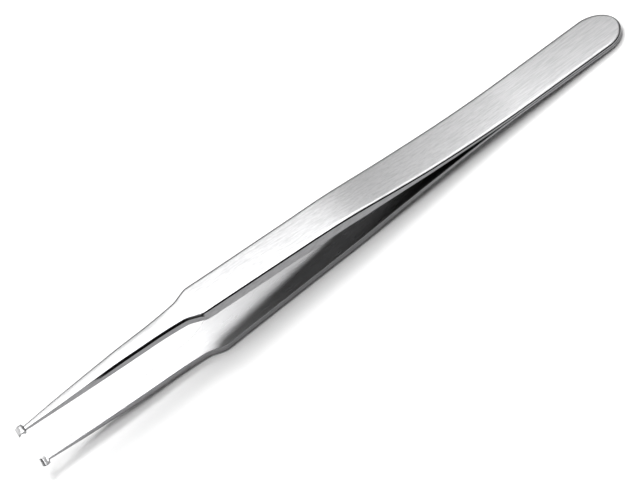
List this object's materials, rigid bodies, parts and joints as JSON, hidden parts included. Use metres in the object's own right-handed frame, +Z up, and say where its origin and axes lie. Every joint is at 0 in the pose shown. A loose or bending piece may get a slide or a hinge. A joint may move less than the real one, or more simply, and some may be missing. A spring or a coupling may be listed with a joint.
{
  "type": "tweezers",
  "caption": "Fine tweezers of two ground steel blades welded at the rear, with slender tips that end in small grooved paddles for cylindrical components.",
  "frame": {"origin": "middle of the length and width, on the table that the tool lies on", "axes": "+X along the tool from the tips towards the rear end, +Y across the blades, +Z up from the table; the tool lies on its lower blade, so the plane between the blades leans 2.9 degrees, rear end down"},
  "size_m": [0.12, 0.0094, 0.0111],
  "materials": {
    "ground_steel": "satin, ground lengthwise"
  },
  "bodies": {
    "root": {"upper_arm": "ground_steel", "lower_arm": "ground_steel"}
  },
  "joints": []
}
